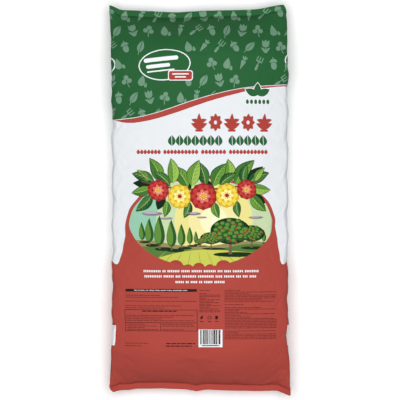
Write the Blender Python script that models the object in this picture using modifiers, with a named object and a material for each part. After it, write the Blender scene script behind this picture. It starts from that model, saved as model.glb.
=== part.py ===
"""Sealed 50-litre compost sack, filled and lying on its back.

The sack is one welded tube of polyethylene film with a gusset folded into each side.
Both ends are closed by a flat weld, which leaves a seal strip with a pointed ear at each corner.
Between the weld and the full body the side gussets open from a deep fold to a rounded wall.
The print is laid out in fields: a green head over a wave, a white middle and a red foot round an oval.

Run with: blender --background --python part.py
Units are metres, +Z is up, +Y points to the top of the printed front, and the sack rests on z = 0.
"""

import math

import bmesh
import bpy

# Whole sack
SACK_LENGTH = 0.848  # between the two cut edges, without the ears
BODY_WIDTH = 0.376  # across the creases of the front panel, half way along
SACK_THICKNESS = 0.165  # floor to the crown of the front panel
CORNER_FLARE = 0.007  # how much further out than the full body three of the corners stand
HEAD_RIGHT_FLARE = -0.004  # and the fourth, which was pulled in
FLARE_POWER = 5  # keeps the flare to the last part of the length

# Seals at the two ends
SEAL_STRIP = 0.019  # from the weld to the cut edge
SEAL_THICKNESS = 0.0018  # the pressed layers of film
SEAL_HEIGHT = 0.070  # of the strip above the floor
SEAL_WAVE = 0.0030  # how far the strip lifts and dips along its width
SEAL_WAVE_LENGTH = 0.150

# Section of the full body
FRONT_CREASE_DROP = 0.046  # from the crown down to the crease of the front panel
BACK_CREASE_LIFT = 0.032  # from the floor up to the crease of the back panel
BACK_PRESS = 0.006  # how far the floor flattens the round of the back panel
SIDE_BULGE = 0.007  # of the gusset wall beyond the creases, which goes into the panels where the gusset folds
FRONT_SQUARENESS = 2.7  # 2 is an ellipse, and more is flatter with tighter shoulders
BACK_SQUARENESS = 5.0

# How the body swells from the seal
END_ROUND = 0.095  # from the weld to full thickness
END_BLUNTNESS = 0.72  # less is blunter
CREASE_RISE = 0.135  # from the weld to where the creases stand full height apart
CREASE_EASE = 1.15  # more keeps the creases together for longer
GUSSET_FOLD = 0.060  # depth of the folded gusset
GUSSET_PART = 0.060  # from the weld to where the plies of the fold stand clearly apart
GUSSET_MOUTH = 0.0030  # gap between the plies just behind the weld

# Ears: how far a corner of the seal strip points past the cut edge, and over what width
HEAD_LEFT_EAR = 0.009
HEAD_LEFT_EAR_WIDTH = 0.030
HEAD_RIGHT_EAR = 0.011
HEAD_RIGHT_EAR_WIDTH = 0.075
FOOT_LEFT_EAR = 0.006
FOOT_LEFT_EAR_WIDTH = 0.040
FOOT_RIGHT_EAR = 0.012
FOOT_RIGHT_EAR_WIDTH = 0.045
EAR_CURL = 0.009  # how far the tips of the ears lift
EAR_CURL_POWER = 12  # keeps the lift to the tips

# Gathers and dents of the filled film
EDGE_GATHER = 0.0016  # in and out along the creases
EDGE_GATHER_LENGTH = 0.092
EDGE_PUCKER = 0.0010  # shorter puckers on top of the gathers
EDGE_PUCKER_LENGTH = 0.039
EDGE_GATHER_FADE = 4  # keeps the gathers away from the seals
END_GATHER = 0.0040  # ridges that run from the weld up the ends
END_GATHER_LENGTH = 0.098
END_GATHER_START = 0.028  # from the weld to where a ridge has its full height
END_GATHER_FADE = 0.057
END_GATHER_SHIFT = 0.8  # of the waves, in opposite directions at the two ends
FRONT_DENT = 0.0026  # of the loose fill below the front panel
FRONT_DENT_LENGTH = 0.230
FRONT_DENT_WIDTH = 0.602
FRONT_DENT_SHIFT = (2.0, 0.6)  # of the waves across the sack and along it
CROSS_DENT = 0.0018  # of the dents that run along the sack
CROSS_DENT_LENGTH = 0.252
CROSS_DENT_TURN = 5.0  # of the wave over the length of one front dent, so that it runs askew

# Fields of the print, measured from the middle of the sack
HEAD_WAVE_LEFT = (-0.175, 0.1775)  # where the edge of the green head starts to rise
HEAD_WAVE_RIGHT = (0.165, 0.2530)  # and where it levels out
BAND_GROWS = (-0.189, -0.110)  # between the left point of the red band and its full width
BAND_SHRINKS = (0.020, 0.180)  # between its full width and the right point
BAND_WIDTH = 0.0112
OVAL_HEIGHT_UP = -0.0492  # centre of the oval along the sack
OVAL_HALF_WIDTH = 0.1555
OVAL_HALF_HEIGHT = 0.0955
OVAL_RIM = 0.0072
HORIZON = -0.078  # where the ground of the oval meets its sky
FOOT_SHOULDER = -0.137  # top of the red foot outside the oval
FOOT_SHOULDER_WIDTH = 0.010  # over which the foot falls away from the oval

# Cage of the surface
PANEL_CELLS = 12  # across the front, and across the back
WALL_CELLS = 4  # across each gusset
BODY_CELLS = 40  # along the sack between the welds
SEAL_CELLS = 2  # along each seal strip
END_SPACING = 0.7  # how strongly the rings crowd towards the welds, from 0 to 1
SHOULDER_SPACING = 0.6  # how strongly the cells crowd towards the creases
CREASE_SHARPNESS = 0.55  # of the panel creases at the seals, for the subdivision
CREASE_SOFTENING = 0.5  # share of the sharpness that is gone in the full body

# Colours of the print, and the film
FILM_WHITE = (0.810, 0.845, 0.880, 1.0)
PRINT_GREEN = (0.027, 0.120, 0.042, 1.0)
PRINT_RED = (0.402, 0.065, 0.050, 1.0)
PRINT_SKY = (0.760, 0.780, 0.690, 1.0)
PRINT_MEADOW = (0.180, 0.290, 0.055, 1.0)
FILM_ROUGHNESS = 0.42


def smooth(share):
    """0 to 1 with level ends, for a share that may run past them."""
    share = min(max(share, 0.0), 1.0)
    return share * share * (3.0 - 2.0 * share)


def crowd(share, strength):
    """-1 to 1, with steps that are closer together towards both ends."""
    return strength * math.sin(share * math.pi / 2) + (1.0 - strength) * share


def wave(place, length, offset):
    return math.sin(2 * math.pi * place / length + offset)


def weld_distance(y):
    """How far a station lies inside the nearer weld; it is negative on a seal strip."""
    return SACK_LENGTH / 2 - SEAL_STRIP - abs(y)


def swell(y):
    """Share of full thickness at a station: nought at the weld, with a blunt round end."""
    share = min(max(weld_distance(y) / END_ROUND, 0.0), 1.0)
    return (1.0 - (1.0 - share) ** 2) ** END_BLUNTNESS


def gusset_opening(y):
    """Share of full height between the creases: the gusset opens more slowly than the end swells."""
    share = min(max(weld_distance(y) / CREASE_RISE, 0.0), 1.0)
    return math.sin(share * math.pi / 2) ** CREASE_EASE


def gusset_reach(y):
    """How far the middle of the gusset stands out from the creases, and inside them if negative."""
    inside = weld_distance(y)
    if inside <= 0.0:
        return 0.0
    unfolded = smooth(inside / CREASE_RISE)
    parted = smooth(inside / GUSSET_PART)
    return SIDE_BULGE * unfolded - GUSSET_FOLD * parted * (1.0 - unfolded)


def corner_flare(y, side):
    """How much further out the corner at this end and side stands; side is -1 on the left."""
    return HEAD_RIGHT_FLARE if y > 0 and side > 0 else CORNER_FLARE


def crease_half_width(y, side):
    """Distance of a crease from the middle of the sack; side is -1 on the left and 1 on the right."""
    along = abs(y) / (SACK_LENGTH / 2)
    gather = EDGE_GATHER * wave(y, EDGE_GATHER_LENGTH, side)
    gather += EDGE_PUCKER * wave(y, EDGE_PUCKER_LENGTH, 2 * side)
    folded_in = SIDE_BULGE * (1.0 - smooth(weld_distance(y) / CREASE_RISE))
    flare = corner_flare(y, side) * along**FLARE_POWER
    return BODY_WIDTH / 2 + folded_in + flare + gather * (1.0 - along**EDGE_GATHER_FADE)


def seal_height(x, y):
    """Height of the seal strip, which waves along its width and lifts at its ears."""
    lift = SEAL_WAVE * wave(x, SEAL_WAVE_LENGTH, math.copysign(1, y))
    edge = abs(x) / (BODY_WIDTH / 2)
    strip_share = 1.0 - smooth(weld_distance(y) / END_ROUND)
    return SEAL_HEIGHT + lift * strip_share + EAR_CURL * edge**EAR_CURL_POWER


def ear_length(x, y):
    """How far the cut edge points outwards at a place along its width."""
    if y > 0:
        ears = ((-1, HEAD_LEFT_EAR, HEAD_LEFT_EAR_WIDTH), (1, HEAD_RIGHT_EAR, HEAD_RIGHT_EAR_WIDTH))
    else:
        ears = ((-1, FOOT_LEFT_EAR, FOOT_LEFT_EAR_WIDTH), (1, FOOT_RIGHT_EAR, FOOT_RIGHT_EAR_WIDTH))
    drawn = 0.0
    for side, length, width in ears:
        corner = BODY_WIDTH / 2 + SIDE_BULGE + corner_flare(y, side)
        drawn += length * smooth(1.0 - (corner - side * x) / width)
    return drawn


def end_gather(x, y):
    """Ridges that fan up from the weld; the two ends and the two panels are gathered unlike each other."""
    inside = max(weld_distance(y), 0.0)
    fade = smooth(inside / END_GATHER_START) * math.exp(-inside / END_GATHER_FADE)
    return END_GATHER * wave(x, END_GATHER_LENGTH, math.copysign(END_GATHER_SHIFT, y)) * fade


def front_dent(x, y):
    """Soft dents of the fill below the front panel."""
    across, along = FRONT_DENT_SHIFT
    dent = FRONT_DENT * wave(x, FRONT_DENT_WIDTH, across) * wave(y, FRONT_DENT_LENGTH, along)
    askew = CROSS_DENT * wave(x, CROSS_DENT_LENGTH, CROSS_DENT_TURN * y / FRONT_DENT_LENGTH)
    return (dent + askew) * swell(y) * smooth(weld_distance(y) / END_ROUND)


def rounded(share, squareness):
    """Height of a rounded panel at a share of its half width."""
    return math.sqrt(1.0 - abs(share) ** squareness)


def panel_shares():
    """Places of the points across a panel, from -1 on one crease to 1 on the other."""
    return [crowd(2.0 * cell / PANEL_CELLS - 1.0, SHOULDER_SPACING) for cell in range(PANEL_CELLS + 1)]


def front_panel(y, crease):
    """Points of the front panel, left to right; crease is the height of its folds above the seal."""
    rise = max((SACK_THICKNESS - SEAL_HEIGHT) * swell(y) - crease, 0.0)
    points = []
    for share in panel_shares():
        x = share * crease_half_width(y, math.copysign(1, share))
        round_share = rounded(share, FRONT_SQUARENESS)
        relief = (end_gather(x, y) + front_dent(x, y)) * round_share
        points.append((x, seal_height(x, y) + crease + rise * round_share + relief))
    return points


def back_panel(y, crease):
    """Points of the back panel, right to left, which the floor presses flat."""
    drop = max((SEAL_HEIGHT + BACK_PRESS) * swell(y) - crease, 0.0)
    points = []
    for share in reversed(panel_shares()):
        x = share * crease_half_width(y, math.copysign(1, share))
        round_share = rounded(share, BACK_SQUARENESS)
        z = seal_height(x, y) - crease - drop * round_share + end_gather(-x, y) * round_share
        points.append((x, max(z, 0.0)))
    return points


def gusset_wall(y, side, top, bottom):
    """Points of one gusset, front crease to back crease; top and bottom are measured from the seal."""
    fold = 1.0 + gusset_opening(y)
    crease_x = side * crease_half_width(y, side)
    points = []
    for cell in range(1, WALL_CELLS):
        step = 1.0 - 2.0 * cell / WALL_CELLS
        reach = gusset_reach(y) * (1.0 - abs(step) ** fold)
        z = seal_height(crease_x, y) + (top + bottom) / 2 + step * (top - bottom) / 2
        points.append((crease_x + side * reach, z))
    return points


def ring(y):
    """Points round the film at one station: front panel left to right, right gusset, back, left gusset."""
    opening = gusset_opening(y)
    folded = SEAL_THICKNESS / 2
    if weld_distance(y) > 0.0:
        folded += GUSSET_MOUTH / 2
    front_crease = SACK_THICKNESS - SEAL_HEIGHT - FRONT_CREASE_DROP
    back_crease = SEAL_HEIGHT - BACK_CREASE_LIFT
    top = folded + (front_crease - folded) * opening
    bottom = folded + (back_crease - folded) * opening
    right_wall = gusset_wall(y, 1, top, -bottom)
    left_wall = gusset_wall(y, -1, top, -bottom)
    return front_panel(y, top) + right_wall + back_panel(y, bottom) + left_wall[::-1]


def stations():
    """Y of every ring, foot to head, closer together where the ends swell."""
    weld = SACK_LENGTH / 2 - SEAL_STRIP
    strip = [weld + SEAL_STRIP * cell / SEAL_CELLS for cell in range(1, SEAL_CELLS + 1)]
    body = [weld * crowd(2.0 * cell / BODY_CELLS - 1.0, END_SPACING) for cell in range(BODY_CELLS + 1)]
    return [-y for y in reversed(strip)] + body + strip


def film_sack():
    """The whole sack as one closed skin, lofted through its rings."""
    shape = bmesh.new()
    rings = []
    for y in stations():
        # An ear draws the strip and the film just behind it out with it.
        draw = smooth(1.0 - max(weld_distance(y), 0.0) / (2 * SEAL_STRIP))
        outwards = math.copysign(1.0, y)
        row = [shape.verts.new((x, y + outwards * draw * ear_length(x, y), z)) for x, z in ring(y)]
        rings.append(row)
    around = len(rings[0])
    for first, second in zip(rings, rings[1:]):
        for i in range(around):
            j = (i + 1) % around
            shape.faces.new((first[i], second[i], second[j], first[j]))
    close_cut_edge(shape, rings[0])
    close_cut_edge(shape, rings[-1])
    sharpen_creases(shape, rings)
    bmesh.ops.recalc_face_normals(shape, faces=shape.faces)
    mesh = bpy.data.meshes.new("compost_bag")
    shape.to_mesh(mesh)
    shape.free()
    return mesh


def close_cut_edge(shape, row):
    """Closes the cut edge of a seal strip between its front and its back layer."""
    back_start = PANEL_CELLS + WALL_CELLS
    for cell in range(PANEL_CELLS):
        front = row[cell], row[cell + 1]
        back = row[back_start + PANEL_CELLS - cell - 1], row[back_start + PANEL_CELLS - cell]
        shape.faces.new((front[0], front[1], back[0], back[1]))
    for start, end in ((PANEL_CELLS, back_start), (back_start + PANEL_CELLS, len(row))):
        shape.faces.new([row[i % len(row)] for i in range(start, end + 1)])


def sharpen_creases(shape, rings):
    """The folds between the panels and the gussets stay crisp near the seals and soften in the full body."""
    layer = shape.edges.layers.float.new("crease_edge")
    back_start = PANEL_CELLS + WALL_CELLS
    folds = (0, PANEL_CELLS, back_start, back_start + PANEL_CELLS)
    for first, second in zip(rings, rings[1:]):
        for i in folds:
            edge = shape.edges.get((first[i], second[i]))
            middle = (first[i].co.y + second[i].co.y) / 2
            edge[layer] = CREASE_SHARPNESS * (1.0 - CREASE_SOFTENING * gusset_opening(middle))


class PrintLayout:
    """Node tree of the print, where each field of colour is a mask over places on the sack."""

    def __init__(self, tree):
        self.tree = tree
        place = tree.nodes.new("ShaderNodeTexCoord")
        split = tree.nodes.new("ShaderNodeSeparateXYZ")
        tree.links.new(place.outputs["Object"], split.inputs[0])
        self.x = split.outputs["X"]
        self.y = split.outputs["Y"]

    def calc(self, operation, *values):
        node = self.tree.nodes.new("ShaderNodeMath")
        node.operation = operation
        for socket, value in zip(node.inputs, values):
            if isinstance(value, bpy.types.NodeSocket):
                self.tree.links.new(value, socket)
            else:
                socket.default_value = value
        return node.outputs[0]

    def ramp(self, value, low, high, start, end):
        """Rises smoothly from start to end while the value runs from low to high."""
        node = self.tree.nodes.new("ShaderNodeMapRange")
        node.interpolation_type = "SMOOTHSTEP"
        self.tree.links.new(value, node.inputs["Value"])
        for name, number in (("From Min", low), ("From Max", high), ("To Min", start), ("To Max", end)):
            node.inputs[name].default_value = number
        return node.outputs["Result"]

    def oval(self, half_width, half_height):
        across = self.calc("DIVIDE", self.x, half_width)
        along = self.calc("DIVIDE", self.calc("SUBTRACT", self.y, OVAL_HEIGHT_UP), half_height)
        spread = self.calc("ADD", self.calc("MULTIPLY", across, across), self.calc("MULTIPLY", along, along))
        return self.calc("LESS_THAN", spread, 1.0)

    def paint(self, mask, below, colour):
        """Lays a colour over what is below it, inside a mask."""
        node = self.tree.nodes.new("ShaderNodeMix")
        node.data_type = "RGBA"
        self.tree.links.new(mask, node.inputs["Factor"])
        if isinstance(below, bpy.types.NodeSocket):
            self.tree.links.new(below, node.inputs["A"])
        else:
            node.inputs["A"].default_value = below
        node.inputs["B"].default_value = colour
        return node.outputs["Result"]


def printed_colour(layout):
    """White film with its head, band, foot, oval rim, sky and meadow printed in that order."""
    wave_edge = layout.ramp(
        layout.x, HEAD_WAVE_LEFT[0], HEAD_WAVE_RIGHT[0], HEAD_WAVE_LEFT[1], HEAD_WAVE_RIGHT[1]
    )
    band_grows = layout.ramp(layout.x, *BAND_GROWS, 0.0, BAND_WIDTH)
    band_shrinks = layout.ramp(layout.x, *BAND_SHRINKS, 0.0, BAND_WIDTH)
    band_edge = layout.calc("SUBTRACT", wave_edge, layout.calc("SUBTRACT", band_grows, band_shrinks))
    out_from_middle = layout.calc("ABSOLUTE", layout.x)
    foot_start = OVAL_HALF_WIDTH + OVAL_RIM
    foot_edge = layout.ramp(
        out_from_middle, foot_start, foot_start + FOOT_SHOULDER_WIDTH, OVAL_HEIGHT_UP, FOOT_SHOULDER
    )
    window = layout.oval(OVAL_HALF_WIDTH, OVAL_HALF_HEIGHT)
    ground = layout.calc("MULTIPLY", window, layout.calc("LESS_THAN", layout.y, HORIZON))
    colour = layout.paint(layout.calc("GREATER_THAN", layout.y, band_edge), FILM_WHITE, PRINT_RED)
    colour = layout.paint(layout.calc("GREATER_THAN", layout.y, wave_edge), colour, PRINT_GREEN)
    colour = layout.paint(layout.calc("LESS_THAN", layout.y, foot_edge), colour, PRINT_RED)
    rim = layout.oval(OVAL_HALF_WIDTH + OVAL_RIM, OVAL_HALF_HEIGHT + OVAL_RIM)
    colour = layout.paint(rim, colour, PRINT_RED)
    colour = layout.paint(window, colour, PRINT_SKY)
    return layout.paint(ground, colour, PRINT_MEADOW)


def film_material():
    material = bpy.data.materials.new("printed_film")
    material.use_nodes = True
    shader = material.node_tree.nodes["Principled BSDF"]
    colour = printed_colour(PrintLayout(material.node_tree))
    material.node_tree.links.new(colour, shader.inputs["Base Color"])
    shader.inputs["Roughness"].default_value = FILM_ROUGHNESS
    return material


def clear_scene():
    for thing in list(bpy.data.objects):
        bpy.data.objects.remove(thing, do_unlink=True)


def build():
    clear_scene()
    group = bpy.data.collections.new("compost_bag")
    bpy.context.scene.collection.children.link(group)
    bag = bpy.data.objects.new("bag", film_sack())
    group.objects.link(bag)
    bag.data.materials.append(film_material())
    rounding = bag.modifiers.new("soft_film", "SUBSURF")
    rounding.levels = 1
    rounding.render_levels = 1
    bag.data.shade_smooth()


build()
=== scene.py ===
"""A filled 50-litre compost sack of printed film, lying on its back, seen from straight above."""
import math

import bmesh
import bpy
import numpy as np
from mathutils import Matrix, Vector
from mathutils.geometry import tessellate_polygon


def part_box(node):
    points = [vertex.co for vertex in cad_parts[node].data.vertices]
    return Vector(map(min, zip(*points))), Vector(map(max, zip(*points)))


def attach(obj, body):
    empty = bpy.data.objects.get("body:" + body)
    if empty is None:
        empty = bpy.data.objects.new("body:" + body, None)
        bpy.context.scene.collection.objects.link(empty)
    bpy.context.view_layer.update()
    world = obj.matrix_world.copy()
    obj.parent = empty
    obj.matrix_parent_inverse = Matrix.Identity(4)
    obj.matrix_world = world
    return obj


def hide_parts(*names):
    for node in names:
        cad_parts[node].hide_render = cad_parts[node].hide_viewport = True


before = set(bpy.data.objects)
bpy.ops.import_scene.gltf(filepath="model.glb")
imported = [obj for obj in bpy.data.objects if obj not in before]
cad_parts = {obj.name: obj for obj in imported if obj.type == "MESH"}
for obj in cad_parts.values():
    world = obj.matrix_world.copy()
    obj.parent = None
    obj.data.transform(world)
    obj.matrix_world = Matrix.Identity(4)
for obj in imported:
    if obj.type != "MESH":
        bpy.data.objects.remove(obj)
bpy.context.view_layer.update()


# The sack's film
# One tube of white polyethylene film, 0.15 mm thick, with a gusset folded into each side.
# Both ends are closed by a flat hot weld, and the loose fill pushes the film out between them.
bag_low, bag_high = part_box("bag")
EAR = 0.012  # how far an ear stands past the cut edge, on average
SACK_LENGTH = bag_high.y - bag_low.y - 2 * EAR
SIDE_BULGE = 0.003  # of the gusset wall beyond the creases; where the gusset folds it goes into the panels
CORNER_FLARE = 0.0078  # how much further out than the full body three of the corners stand
HEAD_RIGHT_FLARE = -0.003  # and the fourth, which was pulled in
FLARE_POWER = 5
HEAD_FULLNESS = (0.0015, 0.290, 0.060)  # wider by, at this place along the sack, over this length
BODY_WIDTH = bag_high.x - bag_low.x - 2 * (SIDE_BULGE + CORNER_FLARE)
HIGHEST_DENT = 0.0034  # how far the solid's highest place stands over its crown
SACK_THICKNESS = bag_high.z - HIGHEST_DENT
SEAL_STRIP = 0.013
SEAL_THICKNESS = 0.0011
SEAL_HEIGHT = 0.070
SEAL_WAVE = 0.0030
SEAL_WAVE_LENGTH = 0.150
WELD_GROOVE = (0.0008, 0.0001)  # deeper at the foot than at the head
WELD_GROOVE_WIDTH = 0.0035
FRONT_CREASE_DROP = 0.046
BACK_CREASE_LIFT = 0.032
BACK_PRESS = 0.006
BACK_NARROWER = 0.005  # how far in the back panel's creases stand from the front's, on each side
NARROWING_POWER = 3  # keeps that to the foot of the gusset wall
FRONT_SQUARENESS = 2.7
BACK_SQUARENESS = 5.0
EDGE_ROUNDING = 0.54  # a half would turn the panels fully downright at the creases
END_ROUND = 0.099
END_BLUNTNESS = (0.78, 0.90)  # of the foot and of the head
CREASE_RISE = 0.135
CREASE_EASE = 1.15
GUSSET_FOLD = 0.060
GUSSET_PART = 0.060
GUSSET_MOUTH = 0.0030
EAR_CURL = 0.009
EAR_CURL_POWER = 12  # keeps the lift to the tips
EAR_DRAW = 0.038  # how far down the film an ear or a dip in the cut edge pulls
# An ear at each corner: end (1 is the head), side (1 is the right), length and width
EARS = ((1, -1, 0.009, 0.030), (1, 1, 0.011, 0.075), (-1, -1, 0.005, 0.030), (-1, 1, 0.011, 0.036))
# How far the corner's tip is rounded off sideways, with the same end and side
TIPS = ((1, -1, 0.001), (1, 1, 0.006), (-1, -1, 0.010), (-1, 1, 0.002))
TIP_LENGTH = 0.016
# Line of each cut edge, as places across the sack and how far out they stand
HEAD_CUT = (
    (-0.188, 0.0), (-0.118, -0.0028), (-0.053, -0.0055), (0.001, -0.0026), (0.088, 0.0), (0.127, 0.0011),
    (0.188, 0.0),
)
FOOT_CUT = (
    (-0.188, 0.0), (-0.160, 0.0), (-0.140, -0.0030), (-0.086, -0.0042), (-0.030, -0.0014), (-0.008, 0.0026),
    (0.014, -0.0012), (0.066, 0.0007), (0.136, 0.0024), (0.188, 0.0),
)
EDGE_GATHER = 0.0012
EDGE_GATHER_LENGTH = 0.092
EDGE_PUCKER = 0.0004
EDGE_PUCKER_LENGTH = 0.039
GATHER_FADE = 4  # keeps the gathers away from the seals
PANEL_CELLS = 60
WALL_CELLS = 20
BODY_CELLS = 132
STRIP_CELLS = 4
END_SPACING = 0.35
SHOULDER_SPACING = 0.5
HOLD = 0.1  # how firmly the fill keeps the film where the form has it
HOLD_STIFFNESS = 5.0
FILL_PRESSURE = 0.5
SLACK_MIDDLE = -0.006  # spare film, as a share of its size, in the middle of the panels
SLACK_EDGE = -0.026  # and at the creases and the ends
SLACK_REACH = (0.16, 1.3)  # in from a crease, to the body's width, and from a weld, to the round end
SLACK_SMOOTHING = 12  # rounds
PRESSED_BELOW = 0.0015  # height under which the floor holds the film
SETTLE_FRAMES = 16
LARGEST_MOVE = 0.011
BAKE_MARGIN = 1.02  # room round the film in its flat map
FILM_CLOTH = (
    ("quality", 6), ("mass", 0.15), ("tension_stiffness", 20), ("compression_stiffness", 20),
    ("shear_stiffness", 8), ("bending_stiffness", 0.05), ("tension_damping", 8), ("compression_damping", 8),
    ("shear_damping", 8), ("use_pressure", True), ("uniform_pressure_force", FILL_PRESSURE),
    ("vertex_group_mass", "held"), ("pin_stiffness", HOLD_STIFFNESS), ("vertex_group_shrink", "spare"),
    ("shrink_min", SLACK_MIDDLE), ("shrink_max", SLACK_EDGE),
)

cut_edge = SACK_LENGTH / 2
weld_line = cut_edge - SEAL_STRIP
wall_height = SACK_THICKNESS - FRONT_CREASE_DROP - BACK_CREASE_LIFT
half_girth = BODY_WIDTH + wall_height


def smooth(share):
    share = np.clip(share, 0.0, 1.0)
    return share * share * (3.0 - 2.0 * share)


def crowd(share, strength):
    """-1 to 1, with steps that are closer together towards both ends."""
    return strength * np.sin(share * np.pi / 2) + (1.0 - strength) * share


def film_form():
    """Places of the film's grid on the filled sack, before it wrinkles, and the station of each row."""
    strip = weld_line + SEAL_STRIP * np.arange(1, STRIP_CELLS + 1) / STRIP_CELLS
    body = weld_line * crowd(np.linspace(-1, 1, BODY_CELLS + 1), END_SPACING)
    y = np.concatenate([-strip[::-1], body, strip])[:, None]
    inside = weld_line - np.abs(y)
    end = np.sign(y)
    full = (1 - (1 - np.clip(inside / END_ROUND, 0, 1)) ** 2) ** np.where(end < 0, *END_BLUNTNESS)
    opening = np.sin(np.clip(inside / CREASE_RISE, 0, 1) * np.pi / 2) ** CREASE_EASE
    unfolded = smooth(inside / CREASE_RISE)
    reach = SIDE_BULGE * unfolded - GUSSET_FOLD * smooth(inside / GUSSET_PART) * (1 - unfolded)
    reach = np.where(inside > 0, reach, 0.0)
    folded = SEAL_THICKNESS / 2 + np.where(inside > 0, GUSSET_MOUTH / 2, 0.0)
    top = folded + (SACK_THICKNESS - SEAL_HEIGHT - FRONT_CREASE_DROP - folded) * opening
    bottom = folded + (SEAL_HEIGHT - BACK_CREASE_LIFT - folded) * opening

    def corner_flare(side):
        return np.where((end > 0) & (side > 0), HEAD_RIGHT_FLARE, CORNER_FLARE)

    def half_width(side):
        along = np.abs(y) / cut_edge
        gather = EDGE_GATHER * np.sin(2 * np.pi * y / EDGE_GATHER_LENGTH + side)
        gather = gather + EDGE_PUCKER * np.sin(2 * np.pi * y / EDGE_PUCKER_LENGTH + 2 * side)
        flare = SIDE_BULGE * (1 - unfolded) + corner_flare(side) * along**FLARE_POWER
        flare = flare + HEAD_FULLNESS[0] * np.exp(-(((y - HEAD_FULLNESS[1]) / HEAD_FULLNESS[2]) ** 2))
        near_tip = np.clip(1 - (cut_edge - np.abs(y)) / TIP_LENGTH, 0, 1) ** 2
        for tip_end, tip_side, amount in TIPS:
            flare = flare - amount * near_tip * ((end == tip_end) & (side == tip_side))
        return BODY_WIDTH / 2 + flare + gather * (1 - along**GATHER_FADE)

    def strip_height(x):
        lift = SEAL_WAVE * np.sin(2 * np.pi * x / SEAL_WAVE_LENGTH + end)
        curl = EAR_CURL * np.abs(x / (BODY_WIDTH / 2)) ** EAR_CURL_POWER
        return SEAL_HEIGHT + lift * (1 - smooth(inside / END_ROUND)) + curl

    across = crowd(np.linspace(-1, 1, PANEL_CELLS + 1), SHOULDER_SPACING)[None, :]
    groove = np.where(end < 0, *WELD_GROOVE) * np.exp(-((inside / WELD_GROOVE_WIDTH) ** 2))

    def panel(share, crease, depth, squareness, up):
        x = share * np.where(share < 0, half_width(-1), half_width(1))
        x = x - share * np.where(up < 0, BACK_NARROWER, 0) * unfolded
        rounding = np.clip(1 - np.abs(share) ** squareness, 0, 1) ** EDGE_ROUNDING
        rise = np.maximum(depth * full - crease, 0) * rounding
        return x, strip_height(x) + up * (crease + rise) - groove

    front_x, front_z = panel(across, top, SACK_THICKNESS - SEAL_HEIGHT, FRONT_SQUARENESS, 1)
    back_x, back_z = panel(across[:, ::-1], bottom, SEAL_HEIGHT + BACK_PRESS, BACK_SQUARENESS, -1)

    def wall(side):
        step = (1 - 2 * np.arange(1, WALL_CELLS) / WALL_CELLS)[None, :]
        crease_x = side * half_width(side)
        x = crease_x + side * reach * (1 - np.abs(step) ** (1 + opening))
        x = x - side * BACK_NARROWER * unfolded * ((1 - step) / 2) ** NARROWING_POWER
        return x, strip_height(crease_x) + (top - bottom) / 2 + step * (top + bottom) / 2

    right_x, right_z = wall(1)
    left_x, left_z = wall(-1)
    x = np.concatenate([front_x, right_x, back_x, left_x[:, ::-1]], axis=1)
    z = np.concatenate([front_z, right_z, np.maximum(back_z, 0), left_z[:, ::-1]], axis=1)
    draw = smooth(1 - np.maximum(inside, 0) / EAR_DRAW)
    cut_lines = [np.interp(x, *zip(*cut)) for cut in (FOOT_CUT, HEAD_CUT)]
    ears = 0.0
    for ear_end, side, length, width in EARS:
        corner = BODY_WIDTH / 2 + SIDE_BULGE + corner_flare(side)
        ears = ears + (end == ear_end) * length * smooth(1 - (corner - side * x) / width)
    out = ears + np.where(end < 0, *cut_lines)
    return np.stack([x, y + end * draw * out, z], axis=-1), y[:, 0]


def film_places():
    """Flat place of each column of the grid: metres round the film from the middle of the front panel."""
    panel = crowd(np.linspace(-1, 1, PANEL_CELLS + 1), SHOULDER_SPACING) * BODY_WIDTH / 2
    wall = BODY_WIDTH / 2 + wall_height * np.arange(1, WALL_CELLS) / WALL_CELLS
    back = BODY_WIDTH + wall_height + panel
    return np.concatenate([panel, wall, back, wall + BODY_WIDTH + wall_height])


def film_mesh(name, grid, around, along, finer):
    """Skin of the grid, closed at both cut edges, with its flat places in metres as the UV map film."""
    rows, columns = grid.shape[:2]
    panel, wall = PANEL_CELLS * finer, WALL_CELLS * finer
    index = np.arange(rows * columns).reshape(rows, columns)
    here, after = index[:-1], index[1:]
    quads = np.stack([here, np.roll(here, -1, 1), np.roll(after, -1, 1), after], axis=-1).reshape(-1, 4)
    faces = quads.tolist()
    for row, turned in ((index[0], True), (index[-1], False)):
        caps = [
            [row[cell], row[cell + 1], row[2 * panel + wall - cell - 1], row[2 * panel + wall - cell]]
            for cell in range(panel)
        ]
        for start in (panel, 2 * panel + wall):
            caps.append([row[i % columns] for i in range(start, start + wall + 1)])
        faces += [[int(i) for i in (cap if turned else cap[::-1])] for cap in caps]
    mesh = bpy.data.meshes.new(name)
    mesh.from_pydata(grid.reshape(-1, 3).tolist(), [], faces)
    column, row = quads % columns, quads // columns
    place = around[column]
    # Where the film closes on itself the last cell of each ring runs on past the first column.
    place = np.where((column == 0) & (column.max(axis=1) > 1)[:, None], place + 2 * half_girth, place)
    # What lies past the middle of the back panel is counted back from the left.
    past_back = place.max(axis=1) > half_girth + 1e-6
    place = place - np.where(past_back, 2 * half_girth, 0.0)[:, None]
    flat = np.stack([place, along[row]], axis=-1).reshape(-1, 2)
    edge = np.empty(len(mesh.loops), np.int32)
    mesh.loops.foreach_get("vertex_index", edge)
    edge = edge[len(flat):]
    edge_flat = np.stack([grid.reshape(-1, 3)[edge, 0], along[edge // columns]], axis=-1)
    flat = np.concatenate([flat, edge_flat])
    bake_size = (2 * BAKE_MARGIN * half_girth, 2 * BAKE_MARGIN * cut_edge)
    for layer, places in (("film", flat), ("OFBake", flat / bake_size + 0.5)):
        mesh.uv_layers.new(name=layer).data.foreach_set("uv", places.astype(np.float32).ravel())
    mesh.shade_smooth()
    return mesh


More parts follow.
